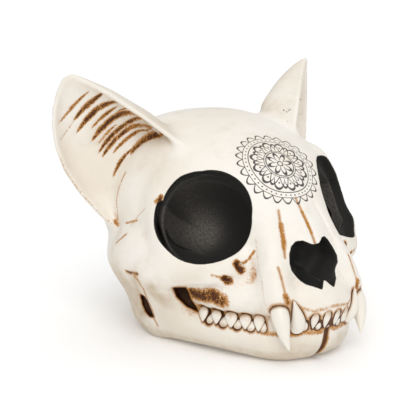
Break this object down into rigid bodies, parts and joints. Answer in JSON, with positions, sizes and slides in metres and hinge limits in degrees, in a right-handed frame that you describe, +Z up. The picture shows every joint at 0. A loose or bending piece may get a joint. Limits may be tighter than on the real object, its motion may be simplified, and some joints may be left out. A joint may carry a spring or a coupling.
{
  "type": "ornamental cat skull",
  "caption": "Cast resin cat skull with upright ears, hollow eyes and nose, and closed toothed jaws; rests on a shelf or table as decor.",
  "frame": {"origin": "centre of the bounding box at the level the skull rests on", "axes": "+Z up, the snout faces -Y, the cat's left side is +X"},
  "size_m": [0.1434, 0.1408, 0.1172],
  "materials": {
    "bone": "satin off-white painted resin with a brown wash in the creases and matt black openings",
    "tooth": "satin ivory painted resin"
  },
  "bodies": {
    "root": {"cranium": "bone", "mandible": "bone", "ear_left": "bone", "ear_right": "bone", "upper_canine_left": "tooth", "upper_canine_right": "tooth", "lower_canine_left": "tooth", "lower_canine_right": "tooth"}
  },
  "joints": []
}
